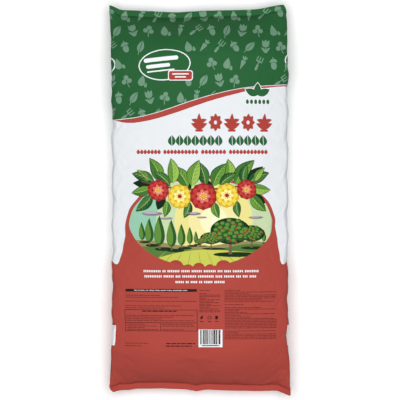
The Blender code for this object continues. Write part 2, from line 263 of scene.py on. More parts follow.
def settle(film, grid):
    """Places of the film once the fill has pushed it out, with some film to spare, so that it wrinkles."""
    rows, columns = grid.shape[:2]
    y = np.abs(np.repeat(along[:, None], columns, 1))
    pressed = (grid[..., 2] < PRESSED_BELOW) & (np.arange(columns) >= PANEL_CELLS + WALL_CELLS)[None, :]
    hold = np.where((y >= weld_line - 1e-4) | pressed, 1.0, HOLD)
    near_crease = np.abs(np.abs(grid[..., 0]) - BODY_WIDTH / 2) < BODY_WIDTH * SLACK_REACH[0]
    near_end = weld_line - y < END_ROUND * SLACK_REACH[1]
    slack = np.where(near_crease | near_end, 1.0, 0.0)
    for _ in range(SLACK_SMOOTHING):
        slack[1:-1] = (slack[:-2] + 2 * slack[1:-1] + slack[2:]) / 4
        slack = (np.roll(slack, 1, 1) + 2 * slack + np.roll(slack, -1, 1)) / 4
    for name, weights in (("held", hold), ("spare", slack)):
        group = film.vertex_groups.new(name=name)
        for vertex, weight in enumerate(weights.ravel().tolist()):
            group.add([vertex], weight, "REPLACE")
    cloth = film.modifiers.new("fill", "CLOTH")
    for setting, value in FILM_CLOTH:
        setattr(cloth.settings, setting, value)
    cloth.settings.effector_weights.gravity = 0
    cloth.collision_settings.use_collision = False
    cloth.collision_settings.use_self_collision = False
    for number in range(1, SETTLE_FRAMES + 1):
        bpy.context.scene.frame_set(number)
    settled = film.evaluated_get(bpy.context.evaluated_depsgraph_get()).to_mesh()
    places = np.empty(len(settled.vertices) * 3, np.float32)
    settled.vertices.foreach_get("co", places)
    film.modifiers.remove(cloth)
    move = places.reshape(grid.shape).astype(float) - grid
    length = np.linalg.norm(move, axis=-1, keepdims=True)
    return grid + move * np.minimum(1.0, LARGEST_MOVE / np.maximum(length, 1e-9))


def twice_as_fine(values, around_too):
    """Puts a new row between each two, and a new column if asked, on a curve through their neighbours."""
    first, last = 2 * values[:1] - values[1:2], 2 * values[-1:] - values[-2:-1]
    long = np.concatenate([first, values, last])
    between = (9 * (long[1:-2] + long[2:-1]) - long[:-3] - long[3:]) / 16
    finer = np.empty((2 * len(values) - 1,) + values.shape[1:])
    finer[::2], finer[1::2] = values, between
    if not around_too:
        return finer
    turned = [np.roll(finer, -step, axis=1) for step in (-1, 0, 1, 2)]
    between = (9 * (turned[1] + turned[2]) - turned[0] - turned[3]) / 16
    return np.stack([finer, between], axis=2).reshape(len(finer), -1, 3)


film_grid, along = film_form()
around = film_places()
loose = bpy.data.objects.new("loose_film", film_mesh("loose_film", film_grid, around, along, 1))
bpy.context.scene.collection.objects.link(loose)
film_grid = settle(loose, film_grid)
bpy.data.objects.remove(loose)
film_grid = twice_as_fine(film_grid, True)
film_grid[..., 2] = np.maximum(film_grid[..., 2], 0.0)
along = twice_as_fine(along, False)
around = np.stack([around, (around + np.append(around[1:], around[0] + 2 * half_girth)) / 2], -1).ravel()
film = bpy.data.objects.new("film", film_mesh("film", film_grid, around, along, 2))
bpy.context.scene.collection.objects.link(film)
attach(film, "root")
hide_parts("bag")


# The film's print and finish
# The white film carries a green head, a red band, a red foot and an oval window, printed in flat inks.
# Polyethylene has a satin face, which fine creases and handling break up.
FILM_WHITE = (0.768, 0.798, 0.826, 1.0)
INK_GREEN = (0.0245, 0.120, 0.0395, 1.0)
INK_RED = (0.416, 0.066, 0.051, 1.0)
FILM_ROUGHNESS = (0.48, 0.62)
FILM_SHINE = 0.02
CRINKLE_SIZE = 0.010
CRINKLE_DEPTH = 0.0005
CREASE_SPACING = 0.35  # share of the crinkles' closeness at which the sharper creases run
CREASE_FLANK = (0.12, 2.0)  # width of a sharper crease's flank, and its height against the crinkles
CLOUD_CLOSENESS = 9.0  # of the cloudy changes in roughness and tone
TONE = (0.955, 0.09)  # darkest tone, and how much lighter the lightest is
BAND_GAP = 0.0014  # white line that keeps the green clear of the red band
OVAL_CENTRE = (0.0022, -0.0492)
OVAL_SIZE = (0.1555, 0.0955)  # half width and half height of the window inside its rim
OVAL_RIM = 0.0072
# Lower edge of the green head, as places round the film and along it
HEAD_EDGE = (
    (-0.480, 0.2180), (-0.360, 0.1840), (-0.285, 0.1765), (-0.200, 0.1768), (-0.190, 0.1762),
    (-0.1693, 0.1776), (-0.1341, 0.1819), (-0.0992, 0.1902), (-0.0641, 0.2012), (-0.0290, 0.2134),
    (0.0055, 0.2242), (0.0402, 0.2336), (0.0754, 0.2416), (0.1100, 0.2472), (0.1636, 0.2516),
    (0.1814, 0.2531), (0.300, 0.2540), (0.380, 0.2480), (0.480, 0.2180),
)
# Lower edge of the red band below it
BAND_EDGE = (
    (-0.480, 0.2160), (-0.360, 0.1838), (-0.285, 0.1762), (-0.200, 0.1764), (-0.190, 0.1750),
    (-0.1693, 0.1698), (-0.1521, 0.1684), (-0.1345, 0.1697), (-0.0991, 0.1766), (-0.0642, 0.1868),
    (-0.0294, 0.1985), (0.0054, 0.2107), (0.0402, 0.2215), (0.0750, 0.2309), (0.1100, 0.2395),
    (0.1639, 0.2474), (0.1817, 0.2488), (0.300, 0.2515), (0.380, 0.2460), (0.480, 0.2160),
)
# Upper edge of the red foot from the oval outwards, the same on both sides
FOOT_EDGE = (
    (0.0, -0.037), (0.1600, -0.037), (0.1628, -0.055), (0.1645, -0.075), (0.1668, -0.090),
    (0.1698, -0.1018), (0.1732, -0.119), (0.1762, -0.133), (0.1788, -0.1392), (0.1824, -0.1408),
    (0.1872, -0.1385), (0.1915, -0.1352), (0.200, -0.1345), (0.480, -0.1345),
)
FOOT_MIDDLE = 0.0012
SUN_PLACE = (0.030, -0.045)
SKY_FAR = (0.300, 0.570, 0.410, 1.0)
# Rings of the sky round the sun, from the outside in: radius and colour
SKY_RINGS = (
    (0.125, (0.560, 0.680, 0.400, 1.0)), (0.085, (0.800, 0.740, 0.270, 1.0)),
    (0.055, (0.860, 0.780, 0.360, 1.0)), (0.030, (0.920, 0.880, 0.540, 1.0)),
)
# The far hill, the near hill and the meadow: colour and upper edge
HILLS = (
    ((0.300, 0.260, 0.100, 1.0), (
        (-0.180, -0.092), (-0.110, -0.088), (-0.050, -0.098),
        (0.020, -0.100), (0.090, -0.090), (0.180, -0.098),
    )),
    ((0.090, 0.200, 0.045, 1.0), (
        (-0.180, -0.106), (-0.110, -0.102), (-0.040, -0.108),
        (0.040, -0.106), (0.110, -0.096), (0.180, -0.104),
    )),
    ((0.560, 0.590, 0.100, 1.0), (
        (-0.180, -0.150), (-0.110, -0.132), (-0.050, -0.115),
        (0.010, -0.108), (0.070, -0.111), (0.180, -0.122),
    )),
)


def calc(tree, operation, *values):
    """A Math node on numbers or sockets, and its output."""
    node = tree.nodes.new("ShaderNodeMath")
    node.operation = operation
    for socket, value in zip(node.inputs, values):
        if isinstance(value, bpy.types.NodeSocket):
            tree.links.new(value, socket)
        else:
            socket.default_value = value
    return node.outputs[0]


def paint_over(tree, mask, below, above):
    """Lays the colour above on the colour below, inside the mask."""
    node = tree.nodes.new("ShaderNodeMix")
    node.data_type = "RGBA"
    tree.links.new(mask, node.inputs["Factor"])
    for name, value in (("A", below), ("B", above)):
        if isinstance(value, bpy.types.NodeSocket):
            tree.links.new(value, node.inputs[name])
        else:
            node.inputs[name].default_value = value
    return node.outputs["Result"]


def edge_curve(tree, place, points):
    """Place along the film of a printed edge, which runs through its points, at a place round the film."""
    node = tree.nodes.new("ShaderNodeFloatCurve")
    curve = node.mapping.curves[0]
    reach = max(abs(u) for u, v in points)
    low = min(u for u, v in points)
    for number, (u, v) in enumerate(points):
        share = (u - low) / (reach - low)
        if number < 2:
            curve.points[number].location = (share, v + 0.5)
        else:
            curve.points.new(share, v + 0.5)
    node.mapping.use_clip = True
    node.mapping.update()
    share = calc(tree, "DIVIDE", calc(tree, "SUBTRACT", place, low), reach - low)
    tree.links.new(share, node.inputs["Value"])
    return calc(tree, "SUBTRACT", node.outputs[0], 0.5)


def new_group(name, takes, gives):
    """An empty shader group with named sockets, as (group, its input node, its output node)."""
    group = bpy.data.node_groups.new(name, "ShaderNodeTree")
    for side, sockets in (("INPUT", takes), ("OUTPUT", gives)):
        for socket, kind, value in sockets:
            made = group.interface.new_socket(socket, in_out=side, socket_type=kind)
            if value is not None:
                made.default_value = value
    return group, group.nodes.new("NodeGroupInput"), group.nodes.new("NodeGroupOutput")


def crinkled_film():
    """Fine creases of handled film: their height, and how they change its roughness and tone."""
    group, given, result = new_group(
        "crinkled_film",
        [("Size", "NodeSocketFloat", CRINKLE_SIZE), ("Smooth", "NodeSocketFloat", FILM_ROUGHNESS[0]),
         ("Rough", "NodeSocketFloat", FILM_ROUGHNESS[1])],
        [("Height", "NodeSocketFloat", None), ("Roughness", "NodeSocketFloat", None),
         ("Tone", "NodeSocketFloat", None)],
    )
    where = group.nodes.new("ShaderNodeTexCoord")
    closeness = calc(group, "DIVIDE", 1.0, given.outputs["Size"])
    creases = group.nodes.new("ShaderNodeTexVoronoi")
    creases.feature = "DISTANCE_TO_EDGE"
    group.links.new(where.outputs["Object"], creases.inputs["Vector"])
    group.links.new(calc(group, "MULTIPLY", closeness, CREASE_SPACING), creases.inputs["Scale"])
    warp = group.nodes.new("ShaderNodeTexNoise")
    warp.inputs["Detail"].default_value = 3.0
    warp.inputs["Distortion"].default_value = 0.8
    group.links.new(where.outputs["Object"], warp.inputs["Vector"])
    group.links.new(closeness, warp.inputs["Scale"])
    cloud = group.nodes.new("ShaderNodeTexNoise")
    cloud.inputs["Scale"].default_value = CLOUD_CLOSENESS
    cloud.inputs["Detail"].default_value = 2.0
    group.links.new(where.outputs["Object"], cloud.inputs["Vector"])
    ridge = calc(group, "MINIMUM", creases.outputs["Distance"], CREASE_FLANK[0])
    height = calc(group, "ADD", warp.outputs[0], calc(group, "MULTIPLY", ridge, CREASE_FLANK[1]))
    group.links.new(height, result.inputs["Height"])
    spread = calc(group, "SUBTRACT", given.outputs["Rough"], given.outputs["Smooth"])
    rough = calc(group, "ADD", given.outputs["Smooth"], calc(group, "MULTIPLY", spread, cloud.outputs[0]))
    group.links.new(rough, result.inputs["Roughness"])
    tone = calc(group, "ADD", TONE[0], calc(group, "MULTIPLY", cloud.outputs[0], TONE[1]))
    group.links.new(tone, result.inputs["Tone"])
    return group


film_finish = crinkled_film()


def finish_as_film(material, colour):
    """Gives a material the film's face over a colour, which is a socket or four numbers."""
    tree = material.node_tree
    shader = tree.nodes["Principled BSDF"]
    finish = tree.nodes.new("ShaderNodeGroup")
    finish.node_tree = film_finish
    toned = tree.nodes.new("ShaderNodeMix")
    toned.data_type = "RGBA"
    toned.blend_type = "MULTIPLY"
    toned.inputs["Factor"].default_value = 1.0
    if isinstance(colour, bpy.types.NodeSocket):
        tree.links.new(colour, toned.inputs["A"])
    else:
        toned.inputs["A"].default_value = colour
    tree.links.new(finish.outputs["Tone"], toned.inputs["B"])
    tree.links.new(toned.outputs["Result"], shader.inputs["Base Color"])
    tree.links.new(finish.outputs["Roughness"], shader.inputs["Roughness"])
    bump = tree.nodes.new("ShaderNodeBump")
    bump.inputs["Distance"].default_value = CRINKLE_DEPTH
    tree.links.new(finish.outputs["Height"], bump.inputs["Height"])
    tree.links.new(bump.outputs[0], shader.inputs["Normal"])
    shader.inputs["Specular IOR Level"].default_value = FILM_SHINE


def oval_mask(tree, u, v, grow):
    across = calc(tree, "DIVIDE", calc(tree, "SUBTRACT", u, OVAL_CENTRE[0]), OVAL_SIZE[0] + grow)
    up = calc(tree, "DIVIDE", calc(tree, "SUBTRACT", v, OVAL_CENTRE[1]), OVAL_SIZE[1] + grow)
    spread = calc(tree, "ADD", calc(tree, "MULTIPLY", across, across), calc(tree, "MULTIPLY", up, up))
    return calc(tree, "LESS_THAN", spread, 1.0)


film_ink = bpy.data.materials.new("printed_film")
film_ink.use_nodes = True
tree = film_ink.node_tree
flat_place = tree.nodes.new("ShaderNodeUVMap")
flat_place.uv_map = "film"
split = tree.nodes.new("ShaderNodeSeparateXYZ")
tree.links.new(flat_place.outputs[0], split.inputs[0])
u, v = split.outputs["X"], split.outputs["Y"]
head_edge = edge_curve(tree, u, HEAD_EDGE)
band_top = calc(tree, "SUBTRACT", head_edge, BAND_GAP)
in_band = calc(
    tree, "MULTIPLY",
    calc(tree, "LESS_THAN", v, band_top),
    calc(tree, "GREATER_THAN", v, edge_curve(tree, u, BAND_EDGE)),
)
foot_edge = edge_curve(tree, calc(tree, "ABSOLUTE", calc(tree, "SUBTRACT", u, FOOT_MIDDLE)), FOOT_EDGE)
colour = paint_over(tree, in_band, FILM_WHITE, INK_RED)
colour = paint_over(tree, calc(tree, "GREATER_THAN", v, head_edge), colour, INK_GREEN)
colour = paint_over(tree, calc(tree, "LESS_THAN", v, foot_edge), colour, INK_RED)
colour = paint_over(tree, oval_mask(tree, u, v, OVAL_RIM), colour, INK_RED)
window = oval_mask(tree, u, v, 0.0)
colour = paint_over(tree, window, colour, SKY_FAR)
from_sun = [calc(tree, "SUBTRACT", place, middle) for place, middle in zip((u, v), SUN_PLACE)]
squares = [calc(tree, "MULTIPLY", way, way) for way in from_sun]
sun_distance = calc(tree, "SQRT", calc(tree, "ADD", *squares))
for radius, ring_colour in SKY_RINGS:
    in_ring = calc(tree, "MULTIPLY", window, calc(tree, "LESS_THAN", sun_distance, radius))
    colour = paint_over(tree, in_ring, colour, ring_colour)
for hill_colour, hill_edge in HILLS:
    on_hill = calc(tree, "MULTIPLY", window, calc(tree, "LESS_THAN", v, edge_curve(tree, u, hill_edge)))
    colour = paint_over(tree, on_hill, colour, hill_colour)
finish_as_film(film_ink, colour)
film.data.materials.append(film_ink)


# The garden pattern on the head
# Pale green motifs from a garden, printed over the green in offset rows all round the sack.
# A print is a skin of ink on the film, shown a tenth of a millimetre thick so that it stays clear of it.
INK_LIFT = 0.00012
LAYER_LIFT = 0.00004  # of an ink over the ink below it
OVERLAP_LIFT = 0.000002  # of a shape over the one before it in the same ink
OVERLAP_STEPS = 16  # after which the lifts start again
BAKE_EDGE = 0.01  # room round a print in its flat map
MILLIMETRE = 0.001
PATTERN_GREEN = (112, 150, 124)
MOTIF_PITCH = (0.0335, 0.0372)  # round the film and along it
MOTIF_SIZE = 1.22
MOTIF_TILT = 14.0
FIRST_ROW = 0.35  # of a row's pitch, from the cut edge to the first row
PATTERN_SHARE = 1 / 3  # of the sack's length, which the rows cover at most
PLAQUE_PLACE = (-0.0757, 0.2950)
PLAQUE_CLEARANCE = (0.070, 0.047)
LEAF_MARK_PLACE = (0.1255, 0.2400)
LEAF_MARK_CLEARANCE = (0.034, 0.026)
BELOW_EDGE = 0.014  # how far below the head's edge the middle of a motif may lie
EDGE_CLEARANCE = 0.0006  # between a motif's ink and the head's edge
LEAF_BELLY = 0.85  # less puts a leaf's widest place nearer its stalk
LEAF_POINT = 0.9
TEAR_POINT = 1.2
TEAR_GIRTH = 1.54  # width of the curve before it is brought to its size

film_normals = np.empty(film_grid.size, np.float32)
film.data.vertex_normals.foreach_get("vector", film_normals)
film_normals = film_normals.reshape(film_grid.shape).astype(float)
around_lines = np.concatenate([around - 2 * half_girth, around])


def ink(name, display):
    """Ink of a colour that is given by its three display values of 0 to 255, with the film's finish."""
    share = np.array(display) / 255
    colour = np.where(share > 0.04045, ((share + 0.055) / 1.055) ** 2.4, share / 12.92)
    material = bpy.data.materials.new(name)
    material.use_nodes = True
    finish_as_film(material, (*colour.tolist(), 1.0))
    return material


def on_film(flat):
    """Places and directions outwards on the film, at places given in columns and rows of its grid."""
    column = np.floor(flat[:, 0]).astype(int)
    row = np.clip(np.floor(flat[:, 1]).astype(int), 0, len(along) - 2)
    across, up = (flat[:, 0] - column)[:, None], (flat[:, 1] - row)[:, None]
    column, after = column % len(around), (column + 1) % len(around)

    def read(values):
        # Each cell of the grid is two flat triangles, parted from its first corner to its last.
        first, last = values[row, column], values[row + 1, after]
        beside, over = values[row, after], values[row + 1, column]
        lower = first + across * (beside - first) + up * (last - beside)
        upper = first + up * (over - first) + across * (last - over)
        return np.where(across > up, lower, upper)

    outwards = read(film_normals)
    return read(film_grid), outwards / np.linalg.norm(outwards, axis=1, keepdims=True)


def cut_to_film(loops):
    """A flat shape, given by its outline and any holes, on the film's grid and cut along its triangles."""
    on_grid = []
    for loop in loops:
        column = np.interp(loop[:, 0], around_lines, range(len(around_lines)))
        row = np.interp(loop[:, 1], along, range(len(along)))
        on_grid.append(np.stack([column, row], axis=-1))
    shape = bmesh.new()
    corners = [shape.verts.new((*corner, 0)) for loop in on_grid for corner in loop]
    for triangle in tessellate_polygon([[Vector((*corner, 0)) for corner in loop] for loop in on_grid]):
        if len(set(triangle)) == 3:
            face = shape.faces.new([corners[i] for i in triangle])
            face.normal_update()
            if face.normal.z < 0:
                face.normal_flip()
    for normal in ((1, 0, 0), (0, 1, 0), (1, -1, 0)):
        reach = np.concatenate(on_grid) @ normal[:2]
        for line in range(math.floor(reach.min()) + 1, math.ceil(reach.max())):
            geometry = shape.verts[:] + shape.edges[:] + shape.faces[:]
            place = (line * normal[0], line * (1 - normal[0]), 0)
            bmesh.ops.bisect_plane(shape, geom=geometry, dist=1e-4, plane_co=place, plane_no=normal)
    return shape


def lay_print(name, prints):
    """Lays inks on the film; each print is an ink, its layer and the shapes that it fills."""
    flat, lifts, faces, inks, face_inks = [], [], [], [], []
    for colour, layer, shapes in prints:
        if colour not in inks:
            inks.append(colour)
        for number, loops in enumerate(shapes):
            shape = cut_to_film(loops)
            shape.verts.index_update()
            first = len(flat)
            flat += [vertex.co.xy[:] for vertex in shape.verts]
            lift = INK_LIFT + layer * LAYER_LIFT + (number % OVERLAP_STEPS) * OVERLAP_LIFT
            lifts += [lift] * len(shape.verts)
            faces += [[first + vertex.index for vertex in face.verts] for face in shape.faces]
            face_inks += [inks.index(colour)] * len(shape.faces)
            shape.free()
    flat = np.array(flat)
    places, outwards = on_film(flat)
    places = places + outwards * np.array(lifts)[:, None]
    mesh = bpy.data.meshes.new(name)
    mesh.from_pydata(places.tolist(), [], faces)
    for colour in inks:
        mesh.materials.append(colour)
    mesh.polygons.foreach_set("material_index", face_inks)
    low, high = flat.min(axis=0), flat.max(axis=0)
    corner = np.empty(len(mesh.loops), np.int32)
    mesh.loops.foreach_get("vertex_index", corner)
    spread = BAKE_EDGE + (1 - 2 * BAKE_EDGE) * (flat[corner] - low) / (high - low)
    mesh.uv_layers.new(name="OFBake").data.foreach_set("uv", spread.astype(np.float32).ravel())
    mesh.shade_smooth()
    mesh.normals_split_custom_set_from_vertices(outwards.tolist())
    piece = bpy.data.objects.new(name, mesh)
    bpy.context.scene.collection.objects.link(piece)
    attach(piece, "root")


def placed(shapes, place, turn=0.0, size=1.0):
    """Shapes drawn in millimetres, turned, and put at a place on the film."""
    angle = math.radians(turn)
    axes = np.array([[math.cos(angle), math.sin(angle)], [-math.sin(angle), math.cos(angle)]])
    return [[loop @ axes * size * MILLIMETRE + place for loop in loops] for loops in shapes]


def trimmed(shapes, place, inwards):
    """The parts of shapes without holes that lie on the inner side of a line."""
    kept = []
    for loops in shapes:
        loop = loops[0]
        depth = (loop - place) @ np.array(inwards)
        trimmed_loop = []
        for i in range(len(loop)):
            before, here = depth[i - 1], depth[i]
            if (before > 0) != (here > 0):
                trimmed_loop.append(loop[i - 1] + (loop[i] - loop[i - 1]) * before / (before - here))
            if here > 0:
                trimmed_loop.append(loop[i])
        if len(trimmed_loop) > 2:
            kept.append([np.array(trimmed_loop)])
    return kept


def turned(loop, degrees, place=(0.0, 0.0)):
    return placed([[loop]], (0.0, 0.0), degrees, 1.0 / MILLIMETRE)[0][0] + place


def disc(width, height=None, place=(0.0, 0.0), corners=20):
    angle = np.arange(corners) * 2 * np.pi / corners
    return np.stack([np.cos(angle) * width / 2, np.sin(angle) * (height or width) / 2], axis=-1) + place


def bar(width, height, corner, place=(0.0, 0.0)):
    """A bar with round corners."""
    angle = np.arange(16) * np.pi / 8 + np.pi / 16
    inner = np.array([width / 2 - corner, height / 2 - corner])
    turn = np.stack([np.cos(angle), np.sin(angle)], axis=-1)
    return np.sign(turn) * inner + turn * corner + place


def leaf(length, width, bow=0.0, sides=(1, -1), gap=0.0):
    """A pointed leaf from its stalk at nought to its tip, whole or one side of it."""
    share = np.linspace(0.0, 1.0, 11)
    middle = bow * np.sin(share * np.pi)
    edges = []
    for side in (1, -1):
        full = np.sin(share**LEAF_BELLY * np.pi) ** LEAF_POINT * width / 2
        reach = full if side in sides else gap * np.sin(share * np.pi)
        edges.append(np.stack([share * length, middle + side * reach], axis=-1))
    if sides == (1, -1):
        return np.concatenate([edges[0], edges[1][-2:0:-1]])
    outer, inner = (edges[0], edges[1]) if sides == (1,) else (edges[1], edges[0])
    inner[:, 1] = middle + gap * sides[0]
    return np.concatenate([outer, inner[-2:0:-1]])


def tear(width, height):
    angle = np.arange(22) * 2 * np.pi / 22
    reach = np.sin(angle) * np.sin(angle / 2) ** TEAR_POINT / TEAR_GIRTH
    return np.stack([reach * width, np.cos(angle) * height / 2], axis=-1)


def tulip():
    cup = [(-6, 2), (-6.6, 7), (-6, 12.5), (-3, 9), (0, 13)]
    cup += [(3, 9), (6, 12.5), (6.6, 7), (6, 2), (3.4, -1), (-3.4, -1)]
    blades = [turned(leaf(13, 4.4, 1.5), 52, (0.6, -12)), turned(leaf(13, 4.4, -1.5), 128, (-0.6, -12))]
    return [np.array(cup, float), bar(1.5, 11, 0.6, (0, -6.6))] + blades


def clover():
    lobes = [disc(8.6, 8.6, place) for place in ((0, 5.6), (-4.9, -1.4), (4.9, -1.4))]
    return lobes + [turned(bar(1.6, 10, 0.7), 12, (1.2, -8))]


def drops():
    return [tear(13, 20), tear(5.6, 9) + (8.6, -6.5)]


def hand_fork():
    tines = [bar(1.9, 9.5, 0.9, (x, 8)) for x in (-4.7, 0, 4.7)]
    pieces = [bar(4.4, 11.5, 2, (0, -8)), bar(1.8, 6, 0.8, (0, 0)), bar(11.3, 2.2, 1, (0, 3.4))]
    return [turned(loop, -38) for loop in tines + pieces]


def acorn():
    rim = np.linspace(0, np.pi, 12)
    cap = np.stack([np.cos(rim) * 7, np.sin(rim) * 6.4 + 2.4], axis=-1)
    nut = trimmed([[disc(10.4, 15, (0, -3.4))]], (0, 1.7), (0, -1))[0][0]
    return [turned(loop, 20) for loop in (cap, nut, bar(1.6, 5, 0.7, (0, 9.5)))]


def split_leaf():
    halves = [leaf(23, 12, 0, (side,), 0.5) - (11.5, 0) for side in (1, -1)]
    return [turned(loop, 58) for loop in halves + [bar(6, 1.3, 0.5, (-13, 0))]]


def carrot():
    root = np.array([(-4.3, 3.4), (-3, 5.4), (3, 5.4), (4.3, 3.4), (1.2, -8.5), (0, -12.5), (-1.2, -8.5)])
    tops = [turned(leaf(8.5, 3.2), angle, (0, 6)) for angle in (55, 90, 125)]
    return [turned(loop, -24) for loop in [root] + tops]


def head_edge_at(u):
    """Place along the film of the lower edge of the green head, at a place round it."""
    mapping = head_edge.node.inputs[0].links[0].from_node.mapping
    low, reach = HEAD_EDGE[0][0], HEAD_EDGE[-1][0]
    return mapping.evaluate(mapping.curves[0], (u - low) / (reach - low)) - 0.5


def head_pattern():
    motifs = (tulip, hand_fork, clover, acorn, drops, split_leaf, carrot)
    kept_clear = ((PLAQUE_PLACE, PLAQUE_CLEARANCE), (LEAF_MARK_PLACE, LEAF_MARK_CLEARANCE))
    columns = round(2 * half_girth / MOTIF_PITCH[0])
    pitch = 2 * half_girth / columns
    shapes = []
    for row in range(1 + int(2 * cut_edge * PATTERN_SHARE / MOTIF_PITCH[1])):
        v = cut_edge - MOTIF_PITCH[1] * (row + FIRST_ROW)
        for column in range(columns):
            u = -half_girth + pitch * (column + 0.5 * (row % 2) + 0.25)
            over_edge = v - head_edge_at(u)
            too_near = [math.hypot(*((np.array((u, v)) - place) / room)) < 1 for place, room in kept_clear]
            if over_edge < -BELOW_EDGE or any(too_near):
                continue
            number = (column * 2 + row * 3) % len(motifs)
            tilt = MOTIF_TILT * ((column + 2 * row) % 3 - 1)
            motif = placed([[loop] for loop in motifs[number]()], (u, v), tilt, MOTIF_SIZE)
            slope = (head_edge_at(u + 0.01) - head_edge_at(u - 0.01)) / 0.02
            motif = trimmed(motif, (u, v - over_edge + EDGE_CLEARANCE), (-slope, 1.0))
            shapes += trimmed(motif, (u, cut_edge - 0.0004), (0.0, -1.0))
    return shapes


lay_print("print_garden_pattern", [(ink("pale_green_ink", PATTERN_GREEN), 0, head_pattern())])


# The blank plaque and the leaf mark
# The plaque is a white oval ring with plain bars, printed on the green of the head.
# The leaf mark stands over the edge of the head at the right, cut clear of it by a white outline.
PLAQUE_SIZE = (112, 68)
PLAQUE_LINE = 2.4
PLAQUE_TILT = 6.0
PRINT_WHITE = (238, 241, 243)
PRINT_RED = (171, 67, 60)
PRINT_GREEN = (44, 98, 58)
LEAF_OUTLINE = 1.8
LEAF_MARK_DOTS = (-2.5, -1.5, -0.5, 0.5, 1.5, 2.5)

white_ink = ink("white_ink", PRINT_WHITE)
red_ink = ink("red_ink", PRINT_RED)
green_ink = ink("green_ink", PRINT_GREEN)


def ring(width, height, line, corners=48):
    outer = disc(width, height, corners=corners)
    return [outer, disc(width - 2 * line, height - 2 * line, corners=corners)]


plaque_bars = [bar(74, 9, 4, (-6, 13)), bar(52, 8, 3.6, (-14, -1)), bar(60, 3, 1.4, (-10, -12))]
tag_place = np.array(PLAQUE_PLACE) + (0.0335, -0.0235)
lay_print("print_plaque", [
    (white_ink, 0, placed([ring(*PLAQUE_SIZE, PLAQUE_LINE)], PLAQUE_PLACE, PLAQUE_TILT)),
    (white_ink, 0, placed([[loop] for loop in plaque_bars], PLAQUE_PLACE, PLAQUE_TILT)),
    (white_ink, 1, placed([[bar(54, 23, 6)]], tag_place)),
    (red_ink, 2, placed([[bar(50, 19, 4.5)]], tag_place)),
    (white_ink, 3, placed([[bar(36, 3, 1.4, (0, 3.2))], [bar(24, 3, 1.4, (0, -3.4))]], tag_place)),
])


SIDE_RINGS = ((-0.1975, 0.2975), (0.2000, 0.3060))
SIDE_RING_SIZE = 33
side_ring = ring(SIDE_RING_SIZE, SIDE_RING_SIZE, PLAQUE_LINE)
lay_print("print_side_rings", [(white_ink, 0, placed([side_ring], place)) for place in SIDE_RINGS])


def leaf_mark(grow):
    """Three broad leaves from one foot, each grown all round."""
    blades = []
    for angle, length, width in ((25, 30, 16), (90, 27, 15), (155, 30, 16)):
        blade = leaf(length + 2 * grow, width + 2 * grow) - (grow, 0)
        blades.append([turned(blade, angle, (0, -11))])
    return blades


lay_print("print_leaf_mark", [
    (white_ink, 0, placed(leaf_mark(LEAF_OUTLINE), LEAF_MARK_PLACE)),
    (green_ink, 4, placed(leaf_mark(0.0), LEAF_MARK_PLACE)),
    (green_ink, 0, placed([[disc(6.4, 10, (9.0 * x, -25.5))] for x in LEAF_MARK_DOTS], LEAF_MARK_PLACE)),
])


# The heading
# A row of bold red ornaments, a row of green buds and a fine red line, printed on the white middle.
# They fill the place of a heading and say nothing.
HEADING_RIGHT = 0.1552
HEADING_WIDTH = 0.1721
HEADING_HEIGHT = 0.1690
ORNAMENTS = 5
ORNAMENT_WIDTH = 30
BUD_HEIGHT = 0.1298
BUD_ROWS = ((-0.0692, 0.0490, 7), (0.0616, 0.1467, 5))
BUD_LENGTH = 23.5
FINE_LINE_HEIGHT = 0.1050
FINE_LINE = ((-0.1378, -0.0850), (-0.0800, -0.0037), (0.0020, 0.0562), (0.0620, 0.1465))
FINE_MARK = (7.4, 10.4)


def fleuron():
    """An upright leaf between two pairs of side leaves on a foot."""
    loops = [turned(leaf(41, 12), 90, (0, -20.5)), bar(17, 5, 2.4, (0, -17.5))]
    for side in (1, -1):
        middle = 90 - 90 * side
        loops.append(turned(leaf(21, 11, 3 * side), middle + 38 * side, (1.2 * side, -15)))
        loops.append(turned(leaf(18, 9, 2 * side), middle + 28 * side, (1.0 * side, -2)))
    return loops


def rosette():
    """Eight pointed petals round an open middle, a little taller than wide."""
    petal = leaf(16, 11.5) + (3.6, 0)
    return [turned(petal, 45 * number) * (0.78, 1.0) for number in range(8)]


ornament_step = (HEADING_WIDTH - ORNAMENT_WIDTH * MILLIMETRE) / (ORNAMENTS - 1)
ornaments = []
for number in range(ORNAMENTS):
    middle = HEADING_RIGHT - ORNAMENT_WIDTH * MILLIMETRE / 2 - number * ornament_step
    drawn = rosette() if number % 2 else fleuron()
    ornaments += placed([[loop] for loop in drawn], (middle, HEADING_HEIGHT))
buds = []
for start, end, count in BUD_ROWS:
    for number in range(count):
        middle = start + (end - start) * (number + 0.5) / count
        halves = [leaf(BUD_LENGTH, 16.6, 0, (side,), 0.6) - (BUD_LENGTH / 2, 0) for side in (1, -1)]
        buds += placed([[loop] for loop in halves], (middle, BUD_HEIGHT), 90)
fine_mark = leaf(FINE_MARK[1], FINE_MARK[0]) - (FINE_MARK[1] / 2, 0)
fine_marks = []
for start, end in FINE_LINE:
    count = round((end - start) / (FINE_MARK[0] * 1.06 * MILLIMETRE))
    for number in range(count):
        middle = start + (end - start) * (number + 0.5) / count
        fine_marks += placed([[fine_mark]], (middle, FINE_LINE_HEIGHT), 90)
lay_print("print_heading", [(red_ink, 0, ornaments), (green_ink, 0, buds), (red_ink, 0, fine_marks)])


# The garland over the oval window
# Red and yellow blossoms between green leaves on a brown twig, built up from flat inks.
# The twig hangs in a bow over the upper rim of the window, and the leaves fan out from it.
TWIG = (
    (-0.128, 0.040), (-0.085, 0.030), (-0.040, 0.024), (0.004, 0.022), (0.050, 0.025), (0.095, 0.032),
    (0.138, 0.044),
)
TWIG_WIDTH = 4.5
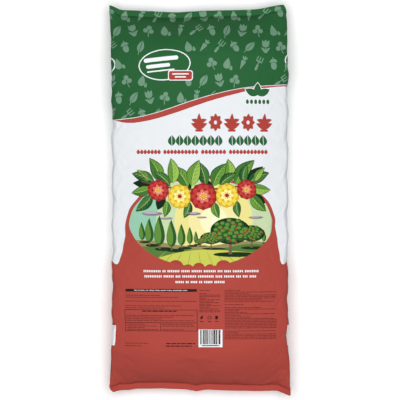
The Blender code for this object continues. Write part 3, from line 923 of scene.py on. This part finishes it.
# Blossoms: place, radius in millimetres, and whether it is red
BLOSSOMS = (
    ((-0.0900, 0.0210), 24, True), ((-0.0440, 0.0080), 27, False), ((0.0070, 0.0080), 30, True),
    ((0.0580, 0.0100), 27, False), ((0.1010, 0.0230), 22, True),
)
# Leaves: place of the stalk, direction in degrees, length and width in millimetres, tone from dark to light
LEAVES = (
    ((-0.098, 0.038), 158, 54, 26, 0), ((-0.084, 0.038), 116, 60, 28, 1), ((-0.106, 0.026), 194, 44, 23, 1),
    ((-0.104, 0.012), 226, 52, 24, 0), ((-0.058, 0.036), 96, 56, 26, 2), ((-0.064, 0.030), 138, 48, 22, 0),
    ((-0.026, 0.028), 124, 56, 28, 1), ((-0.018, 0.030), 74, 60, 30, 2), ((-0.072, -0.002), 262, 36, 18, 1),
    ((0.012, 0.030), 106, 56, 25, 0), ((0.028, 0.030), 60, 58, 30, 1), ((0.042, 0.030), 38, 48, 22, 0),
    ((0.064, 0.036), 94, 54, 27, 2), ((0.076, 0.034), 52, 68, 32, 1), ((0.094, 0.036), 80, 44, 21, 0),
    ((0.104, 0.036), 26, 54, 26, 0), ((0.110, 0.028), 352, 44, 23, 2), ((0.108, 0.014), 314, 54, 25, 1),
    ((-0.022, -0.004), 250, 38, 19, 0), ((0.030, -0.004), 288, 38, 19, 1), ((0.080, -0.002), 278, 36, 18, 0),
    ((-0.112, 0.040), 134, 36, 17, 2), ((0.120, 0.042), 54, 36, 17, 2),
)
# Behind the others: leaves in shade, which have no tone
SHADE_LEAVES = (
    ((-0.100, 0.034), 176, 46, 20), ((-0.040, 0.020), 40, 30, 22), ((0.100, 0.040), 42, 50, 22),
    ((0.112, 0.010), 330, 34, 20), ((0.020, 0.012), 100, 34, 26), ((-0.080, 0.012), 250, 36, 22),
)
LEAF_TONES = (
    ((36, 84, 44), (62, 116, 52)), ((66, 118, 50), (106, 154, 60)), ((104, 150, 58), (152, 190, 84)),
)
LEAF_SHADE = (22, 44, 28)
LEAF_VEINS = ((104, 150, 86), (40, 86, 42), (62, 112, 46))
LEAF_RIB = (188, 206, 124)
TWIG_BROWN = (112, 76, 52)
BLOSSOM_TONES = (
    ((156, 112, 24), (214, 178, 40), (238, 212, 82), (250, 238, 150)),
    ((96, 24, 30), (158, 38, 40), (190, 62, 56), (222, 118, 104)),
)


def blossom(place, radius, red):
    """Prints of one round blossom: its shade, two rings of petals and its eye."""
    deep, dark, mid, light = blossom_inks[red]
    layer = 14 + 7 * red
    prints = [(deep, layer, placed([[disc(2 * radius * 0.94, corners=28)]], place))]
    for colour, count, reach, width, length in (
        (dark, 10, 0.62, 0.56, 0.76), (mid, 10, 0.58, 0.40, 0.62), (dark, 7, 0.34, 0.42, 0.50),
        (light, 7, 0.33, 0.30, 0.38),
    ):
        layer += 1
        petals = []
        for petal in range(count):
            angle = 360 * (petal + 0.5 * (len(prints) % 2)) / count
            shape = disc(length * radius, width * radius, corners=16) + (reach * radius, 0)
            petals.append([turned(shape, angle)])
        prints.append((colour, layer, placed(petals, place)))
    eye = [[disc(radius * 0.34)]]
    seed = disc(radius * 0.09, corners=8) + (radius * 0.24, 0)
    seeds = [[turned(seed, 360 * number / 9)] for number in range(9)]
    prints.append((blossom_inks[not red][1], layer + 1, placed(eye, place)))
    prints.append((blossom_inks[not red][3], layer + 2, placed(seeds, place)))
    return prints


def garland_leaf(place, direction, length, width, tone, layer):
    """Prints of one leaf: a shade behind it, a dark and a pale half, its midrib and its veins."""
    lower, upper = leaf_inks[tone]
    bow = 0.06 * length * (1 if direction % 180 < 90 else -1)
    outline = [[leaf(length, width, bow)]]
    halves = [leaf(length * 0.97, width * 0.90, bow, (side,), 0.0) for side in (1, -1)]
    rib_shape = leaf(length * 0.94, 1.0, bow)
    veins = []
    for number in range(1, 6):
        along_rib = length * (0.08 + 0.14 * number)
        rib = bow * math.sin(along_rib / length * math.pi)
        reach = width * 0.46 * math.sin(along_rib / length * math.pi) ** 0.8
        for side in (1, -1):
            veins.append(turned(leaf(reach, 0.9), 42 * side, (along_rib, rib)))
    return [
        (leaf_shade, layer, placed(outline, place, direction)),
        (lower, layer + 1, placed([[halves[0]]], place, direction)),
        (upper, layer + 1, placed([[halves[1]]], place, direction)),
        (vein_inks[tone], layer + 2, placed([[vein] for vein in veins], place, direction)),
        (leaf_rib, layer + 3, placed([[rib_shape]], place, direction)),
    ]


def ribbon(points, width, steps=24):
    """A strip along a smooth line through its points, thinner towards its ends."""
    knots = np.array(points) / MILLIMETRE
    place = np.linspace(0, len(knots) - 1, steps)
    line = np.stack([np.interp(place, range(len(knots)), knots[:, axis]) for axis in (0, 1)], axis=-1)
    line[1:-1] = (line[:-2] + 2 * line[1:-1] + line[2:]) / 4
    run = np.gradient(line, axis=0)
    side = np.stack([-run[:, 1], run[:, 0]], axis=-1) / np.linalg.norm(run, axis=1, keepdims=True)
    half = width / 2 * (0.35 + 0.65 * np.sin(np.linspace(0, np.pi, steps)))[:, None]
    return np.concatenate([line + side * half, (line - side * half)[::-1]])


leaf_shade = ink("leaf_shade_ink", LEAF_SHADE)
leaf_rib = ink("leaf_rib_ink", LEAF_RIB)
vein_inks = [ink(f"leaf_{tone}_vein_ink", LEAF_VEINS[tone]) for tone in range(3)]
twig_ink = ink("twig_ink", TWIG_BROWN)
leaf_inks = [
    [ink(f"leaf_{tone}_{half}_ink", LEAF_TONES[tone][half]) for half in (0, 1)] for tone in range(3)
]
blossom_inks = [
    [ink(f"blossom_{kind}_{shade}_ink", BLOSSOM_TONES[kind][shade]) for shade in range(4)] for kind in (0, 1)
]
garland = [(twig_ink, 13, placed([[ribbon(TWIG, TWIG_WIDTH)]], (0.0, 0.0)))]
for place, direction, length, width in SHADE_LEAVES:
    garland.append((leaf_shade, 0, placed([[leaf(length, width)]], place, direction)))
for number, (place, direction, length, width, tone) in enumerate(LEAVES):
    garland += garland_leaf(place, direction, length, width, tone, 1 + 4 * (number % 3))
for place, radius, red in BLOSSOMS:
    garland += blossom(place, radius, red)
lay_print("print_garland", garland)


# The scene in the oval window
# Bushes, poplars, clouds, a low sun and a ploughed meadow, over the sky and the hills that the film carries.
# Red earth rises into the foot of the window in round lumps.
WINDOW_CUTS = 40  # straight cuts that trim a shape to the oval
# Clouds: place, length in millimetres
CLOUDS = (
    (-0.104, -0.030, 46), (-0.074, -0.040, 30), (-0.016, -0.030, 36), (0.122, -0.038, 32),
    (0.004, -0.038, 22),
)
CLOUD_SHARE = 0.20  # of its length that a cloud is high
# Poplars: place of the foot, height in millimetres
POPLARS = (
    (-0.126, -0.092, 44), (-0.110, -0.099, 60), (-0.088, -0.107, 74), (-0.062, -0.110, 68),
    (-0.040, -0.105, 54), (-0.022, -0.100, 42), (-0.009, -0.097, 30), (0.138, -0.094, 30),
)
POPLAR_SHARE = 0.33  # of its height that a poplar is wide
# Bushes: place of the foot, width and height in millimetres
BUSHES = (
    (0.024, -0.106, 50, 38), (0.112, -0.104, 58, 52), (0.066, -0.118, 92, 84), (0.001, -0.100, 24, 17),
)
BUSH_LOBES = 26
GOLDEN_ANGLE = 137.5  # between one lobe and the next, so that they spread evenly
FURROWS = 9
FURROW_STARTS = (-0.075, 0.018)  # of the first furrow, and the step to the next
FURROW_ENDS = (-0.110, 0.028)
FURROW_HEIGHTS = (-0.1130, -0.1290, -0.1450)  # at the start, the middle and the end
FURROW_WIDTH = 1.8
# Lumps of earth: place of the top, half width in millimetres
EARTH_LUMPS = (
    (-0.0523, -0.1308, 16), (-0.0255, -0.1400, 10), (-0.0024, -0.1365, 12), (0.0215, -0.1398, 9),
    (0.0514, -0.1308, 16),
)

cloud_ink = ink("cloud_ink", (136, 126, 142))
cloud_pale_ink = ink("cloud_pale_ink", (184, 176, 180))
sun_ink = ink("sun_ink", (253, 248, 214))
trunk_ink = ink("trunk_ink", (118, 92, 74))
bush_deep = ink("bush_deep_ink", (26, 52, 30))
bush_dark = ink("bush_dark_ink", (44, 88, 42))
bush_light = ink("bush_light_ink", (96, 140, 58))
berry_ink = ink("berry_ink", (186, 52, 46))
furrow_ink = ink("furrow_ink", (164, 172, 70))


def in_window(shapes):
    """The parts of shapes that show inside the oval window."""
    for out in disc(2, corners=WINDOW_CUTS):
        shapes = trimmed(shapes, out * OVAL_SIZE + OVAL_CENTRE, -out / OVAL_SIZE)
    return shapes


def poplar(u, v, height):
    """A narrow tree: its shadow on the ground, its dark body and its lit side."""
    width = height * POPLAR_SHARE
    crown = (0, height * 0.56)
    body = tear(width, height * 0.88) + crown
    lit = tear(width * 0.62, height * 0.76) + (-width * 0.13, height * 0.54)
    trunk = bar(width * 0.16, height * 0.2, 0.1, (0, height * 0.1))
    ground = disc(width * 1.7, width * 0.34, (width * 0.4, 0))
    return [
        (bush_deep, 0, placed([[ground]], (u, v))), (trunk_ink, 1, placed([[trunk]], (u, v))),
        (bush_dark, 2, placed([[body]], (u, v))), (bush_light, 3, placed([[lit]], (u, v))),
    ]


def bush(u, v, width, height):
    """A round bush on a short trunk: lobes in three tones, with berries."""
    turn = math.radians(GOLDEN_ANGLE)
    crown = np.array((0, height * 0.60))
    spread = np.array((width, height * 0.72)) / 2
    lobes, lights, berries = [], [], []
    for number in range(BUSH_LOBES):
        reach = math.sqrt((number + 0.5) / BUSH_LOBES)
        place = crown + spread * reach * 0.80 * (math.cos(number * turn), math.sin(number * turn))
        size = width * (0.20 - 0.05 * reach)
        lobes.append([disc(size, corners=12) + place])
        lights.append([disc(size * 0.62, size * 0.46, corners=10) + place + (-size * 0.12, size * 0.16)])
        if number % 2:
            berries.append([disc(width * 0.045, corners=8) + place + (size * 0.25, -size * 0.12)])
    trunk = np.array([(-0.5, 0), (-0.26, 0.5), (-0.9, 0.9), (0.9, 0.9), (0.26, 0.5), (0.5, 0)])
    trunk = trunk * (width * 0.09, height * 0.42)
    ground = disc(width * 1.05, height * 0.13, (width * 0.12, -height * 0.01), 24)
    body = disc(spread[0] * 1.9, spread[1] * 1.9, corners=28) + crown
    return [
        (bush_deep, 3, placed([[ground]], (u, v))), (trunk_ink, 4, placed([[trunk]], (u, v))),
        (bush_deep, 5, placed([[body]], (u, v))), (bush_dark, 6, placed(lobes, (u, v))),
        (bush_light, 7, placed(lights, (u, v))), (berry_ink, 8, placed(berries, (u, v))),
    ]


window_scene = [(sun_ink, 0, placed([[disc(15)]], SUN_PLACE))]
for u, v, length in CLOUDS:
    high = length * CLOUD_SHARE
    lit = disc(length * 0.7, high * 0.45, (-length * 0.06, high * 0.2))
    window_scene.append((cloud_ink, 1, placed([[disc(length, high)]], (u, v))))
    window_scene.append((cloud_pale_ink, 2, placed([[lit]], (u, v))))
for number in range(FURROWS):
    start, end = (first + step * number for first, step in (FURROW_STARTS, FURROW_ENDS))
    furrow = ribbon(tuple(zip((start, (start + end) / 2, end), FURROW_HEIGHTS)), FURROW_WIDTH, 10)
    window_scene.append((furrow_ink, 0, placed([[furrow]], (0.0, 0.0))))
for u, v, height in POPLARS:
    window_scene += poplar(u, v, height)
for u, v, width, height in BUSHES:
    window_scene += bush(u, v, width, height)
for u, v, radius in EARTH_LUMPS:
    lump = disc(2 * radius, 1.6 * radius, (0, -0.8 * radius), 24)
    window_scene.append((red_ink, 9, placed([[lump]], (u, v))))
window_scene = [(colour, layer, in_window(shapes)) for colour, layer, shapes in window_scene]
lay_print("print_window_scene", window_scene)


# The small print on the foot
# White lines below the window, then a dark bar, columns of fine dark lines, an empty table and a bar code.
# The lines are plain strokes in the place of words, and the code's bars follow no number.
WHITE_LINES = ((-0.1552, -0.1226, 0.1269), (-0.1666, -0.1204, 0.1226), (-0.1788, -0.0532, 0.0553))
WHITE_MARK = (2.5, 5.0)
DARK_BAR = (-0.1640, -0.0070, -0.1971, 5.8)
BAR_MARK = (1.3, 1.7)
FINE_STROKE = 1.5
SHORT_LINES = 0.40  # share of the fine lines that end early
MISSING_LINES = 0.12  # and of those that are left out between paragraphs
# Columns of fine lines: left, right, top and bottom places, distance between lines in millimetres
COLUMNS = (
    (-0.1623, -0.0063, -0.2040, -0.2240, 4.2), (-0.1623, -0.0400, -0.2310, -0.2370, 4.6),
    (-0.0017, 0.0441, -0.1973, -0.2444, 3.3), (0.0532, 0.1660, -0.1973, -0.3063, 3.4),
    (-0.1600, -0.0120, -0.2480, -0.2650, 3.8), (-0.1590, -0.0900, -0.2712, -0.2840, 3.8),
    (-0.0820, -0.0120, -0.2712, -0.2840, 3.8), (-0.1623, -0.1068, -0.3128, -0.3190, 5.7),
)
BOLD_LINES = ((-0.3128, -0.0727, -0.0076), (-0.3185, -0.0727, -0.0180), (-0.2425, -0.1250, -0.0470))
TABLE = (-0.1630, -0.0056, -0.2391, -0.2860)
TABLE_ROW = -0.2677
TABLE_COLUMN = -0.0853
TABLE_LINE = 1.1
CODE_PLACE = (0.0226, -0.3015)
CODE_SIZE = (51.5, 38.6)
CODE_MARGIN = 3.6
SMALL_MARKS = ((0.0033, -0.2562), (0.0206, -0.2562), (0.0358, -0.2562))
SIDE_PATCHES = ((-0.2060, -0.1835), (0.1885, 0.2110))
SIDE_PATCH_SPAN = (-0.3189, -0.2745)

fine_ink = ink("fine_dark_ink", (112, 45, 40))
dark_ink = ink("dark_ink", (44, 30, 28))
grey_ink = ink("grey_ink", (150, 152, 154))


def uneven(number):
    """A share of 0 to 1 that looks uneven from one whole number to the next."""
    return (math.sin(number * 12.9898) * 43758.5453) % 1.0


def strokes(left, right, v, height, mark, seed):
    """Strokes of uneven length along a line, as millimetre shapes on the film."""
    shapes = []
    u = left
    while u < right - 0.4 * mark * MILLIMETRE:
        seed += 1
        length = mark * (0.5 + 1.1 * uneven(seed))
        length = min(length, (right - u) / MILLIMETRE)
        if length > height:
            shapes += placed([[bar(length, height, height * 0.3)]], (u + length / 2 * MILLIMETRE, v))
        u += (length + height * 0.55 + 0.3) * MILLIMETRE
    return shapes


def marks(left, right, v, size, seed):
    """Small blocks of like size in uneven groups along a line."""
    shapes = []
    u, in_group = left, 0
    width, height = size
    while u < right - width * MILLIMETRE:
        if in_group == 0:
            seed += 1
            in_group = 2 + int(9 * uneven(seed))
        shapes += placed([[bar(width, height, width * 0.3)]], (u + width / 2 * MILLIMETRE, v))
        in_group -= 1
        u += width * (2.7 if in_group == 0 else 1.55) * MILLIMETRE
    return shapes


def box_lines(left, right, top, bottom, line):
    """The four sides of a frame."""
    width, height = (right - left) / MILLIMETRE, (top - bottom) / MILLIMETRE
    place = ((left + right) / 2, (top + bottom) / 2)
    outer = np.array([(-1, -1), (1, -1), (1, 1), (-1, 1)]) * (width / 2, height / 2)
    inner = outer - np.sign(outer) * line
    return placed([[outer, inner]], place)


white_lines = []
for number, (v, left, right) in enumerate(WHITE_LINES):
    white_lines += marks(left, right, v, WHITE_MARK, 40 * number)
fine_lines, seed = [], 100
for left, right, top, bottom, pitch in COLUMNS:
    for line in range(int((top - bottom) / (pitch * MILLIMETRE)) + 1):
        seed += 31
        if uneven(seed + 2) < MISSING_LINES:
            continue
        end = right
        if uneven(seed) <= SHORT_LINES:
            end = left + (right - left) * (0.25 + 0.5 * uneven(seed + 1))
        fine_lines += strokes(left, end, top - line * pitch * MILLIMETRE, FINE_STROKE, 9, seed)
bold_lines = []
for number, (v, left, right) in enumerate(BOLD_LINES):
    bold_lines += strokes(left, right, v, 2.2, 8, 700 + 20 * number)
bar_left, bar_right, bar_v, bar_height = DARK_BAR
bar_middle = ((bar_left + bar_right) / 2, bar_v)
table_middle = (TABLE[0] + TABLE[1]) / 2
dark_bar = placed([[bar((bar_right - bar_left) / MILLIMETRE, bar_height, 0.3)]], bar_middle)
table = box_lines(*TABLE, TABLE_LINE)
table += placed([[bar((TABLE[1] - TABLE[0]) / MILLIMETRE - 2, TABLE_LINE, 0.2)]], (table_middle, TABLE_ROW))
table_foot = (TABLE_ROW - TABLE[3]) / MILLIMETRE
table += placed([[bar(TABLE_LINE, table_foot - 2, 0.2)]], (TABLE_COLUMN, (TABLE_ROW + TABLE[3]) / 2))
mark_shapes = [[turned(leaf(10, 5), 60, (-2, -4))], ring(9, 7, 1.2, 20), [bar(6, 8, 2)]]
small_marks = []
for place, loops in zip(SMALL_MARKS, mark_shapes):
    small_marks += placed([loops], place)
    small_marks += placed([[bar(7.5, 1.6, 0.5)]], (place[0], place[1] - 0.0085))
lay_print("print_small_print", [
    (white_ink, 0, white_lines),
    (fine_ink, 0, fine_lines),
    (dark_ink, 0, dark_bar + bold_lines + small_marks),
    (dark_ink, 1, table),
    (white_ink, 1, marks(bar_left + 0.020, bar_right - 0.020, bar_v, BAR_MARK, 900)),
])

code_bars, grey_bars, x, number = [], [], -CODE_SIZE[0] / 2 + CODE_MARGIN, 0
while x < CODE_SIZE[0] / 2 - CODE_MARGIN - 2:
    number += 1
    width = 0.9 + 2.6 * uneven(number + 3)
    loop = bar(width, CODE_SIZE[1] - 7, 0.1, (x + width / 2, 2.8))
    (code_bars if uneven(number) > 0.35 else grey_bars).append([loop])
    x += width + 0.6 + 1.3 * uneven(number + 60)
foot, top = SIDE_PATCH_SPAN
patches = []
for left, right in SIDE_PATCHES:
    patches.append([np.array([(left, foot), (right, foot), (right, top), (left, top)])])
lay_print("print_code_and_patches", [
    (white_ink, 0, placed([[bar(*CODE_SIZE, 0.5)]], CODE_PLACE) + patches),
    (dark_ink, 1, placed(code_bars + [[bar(38, 2, 0.4, (0, -15.8))]], CODE_PLACE)),
    (grey_ink, 1, placed(grey_bars, CODE_PLACE)),
])


# The floor, the light and the camera
# A pale floor below the sack, one round soft lamp straight above it, and a pale room round both.
CAMERA_LENS = 190.0
CAMERA_SENSOR = 36.0
VIEW_WIDTH = 0.8830  # at the height of the sack's widest part
VIEW_HEIGHT_LEVEL = 0.105
LAMP_HEIGHT = 5.0
LAMP_RADIUS = 1.35
LAMP_POWER = 248.0
ROOM_LIGHT = 0.12
FLOOR_COLOUR = (0.97, 0.97, 0.97, 1.0)
FLOOR_GLOW = 0.04



def seen_by(tree, *rays):
    """1 to the camera and to one more kind of ray, and nought to the rest."""
    paths = tree.nodes.new("ShaderNodeLightPath")
    return calc(tree, "MAXIMUM", *(paths.outputs[ray] for ray in rays))


floor_mesh = bpy.data.meshes.new("floor")
floor_shape = bmesh.new()
bmesh.ops.create_grid(floor_shape, x_segments=1, y_segments=1, size=6.0)
floor_shape.to_mesh(floor_mesh)
floor_shape.free()
floor = bpy.data.objects.new("floor", floor_mesh)
bpy.context.scene.collection.objects.link(floor)
floor.location.z = -0.0005
floor_paint = bpy.data.materials.new("pale_floor")
floor_paint.use_nodes = True
tree = floor_paint.node_tree
shader = tree.nodes["Principled BSDF"]
shader.inputs["Base Color"].default_value = FLOOR_COLOUR
shader.inputs["Roughness"].default_value = 1.0
shader.inputs["Specular IOR Level"].default_value = 0.0
glow = calc(tree, "MULTIPLY", seen_by(tree, "Is Camera Ray", "Is Glossy Ray"), FLOOR_GLOW)
shader.inputs["Emission Color"].default_value = (1.0, 1.0, 1.0, 1.0)
tree.links.new(glow, shader.inputs["Emission Strength"])
floor_mesh.materials.append(floor_paint)

lamp_light = bpy.data.lights.new("soft_lamp", "AREA")
lamp_light.shape = "DISK"
lamp_light.size = 2 * LAMP_RADIUS
lamp_light.energy = LAMP_POWER
lamp = bpy.data.objects.new("soft_lamp", lamp_light)
bpy.context.scene.collection.objects.link(lamp)
lamp.location = (0.0, 0.0, LAMP_HEIGHT)

room = bpy.data.worlds.new("pale_room")
bpy.context.scene.world = room
room.use_nodes = True
tree = room.node_tree
background = tree.nodes["Background"]
strength = tree.nodes.new("ShaderNodeMapRange")
tree.links.new(seen_by(tree, "Is Camera Ray", "Is Transmission Ray"), strength.inputs["Value"])
strength.inputs["To Min"].default_value = ROOM_LIGHT
strength.inputs["To Max"].default_value = 1.0
tree.links.new(strength.outputs[0], background.inputs["Strength"])
background.inputs["Color"].default_value = (1.0, 1.0, 1.0, 1.0)

camera_lens = bpy.data.cameras.new("camera")
camera_lens.lens = CAMERA_LENS
camera_lens.sensor_width = CAMERA_SENSOR
camera = bpy.data.objects.new("camera", camera_lens)
bpy.context.scene.collection.objects.link(camera)
camera.location = (0.0, 0.0, VIEW_HEIGHT_LEVEL + VIEW_WIDTH * CAMERA_LENS / CAMERA_SENSOR)
bpy.context.scene.camera = camera
bpy.context.scene.view_settings.view_transform = "Standard"
